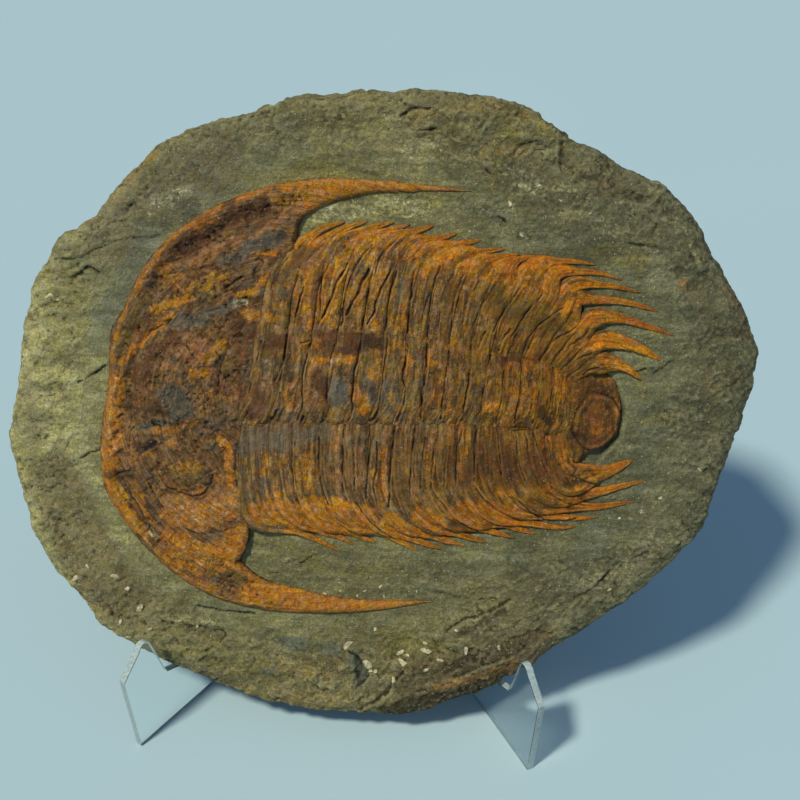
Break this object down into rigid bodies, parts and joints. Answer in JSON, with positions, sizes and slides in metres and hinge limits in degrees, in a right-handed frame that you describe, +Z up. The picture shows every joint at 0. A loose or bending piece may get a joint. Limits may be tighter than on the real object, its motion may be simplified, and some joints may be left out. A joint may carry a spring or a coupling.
{
  "type": "acadoparadoxides briareus trilobite fossil",
  "caption": "Oval stone slab with a trilobite fossil standing out of its face, leaning on a folded clear acrylic display easel.",
  "frame": {"origin": "centre of the bounding box's base, on the surface that the easel stands on", "axes": "+X to the fossil's tail end, seen from the front; -Y out of the front, the way the slab's face looks; +Z up"},
  "size_m": [0.4819, 0.2197, 0.4059],
  "materials": {
    "stone": "matte",
    "clear_acrylic": "clear, polished"
  },
  "bodies": {
    "root": {"fossil_slab": "stone", "acrylic_easel": "clear_acrylic"}
  },
  "joints": []
}
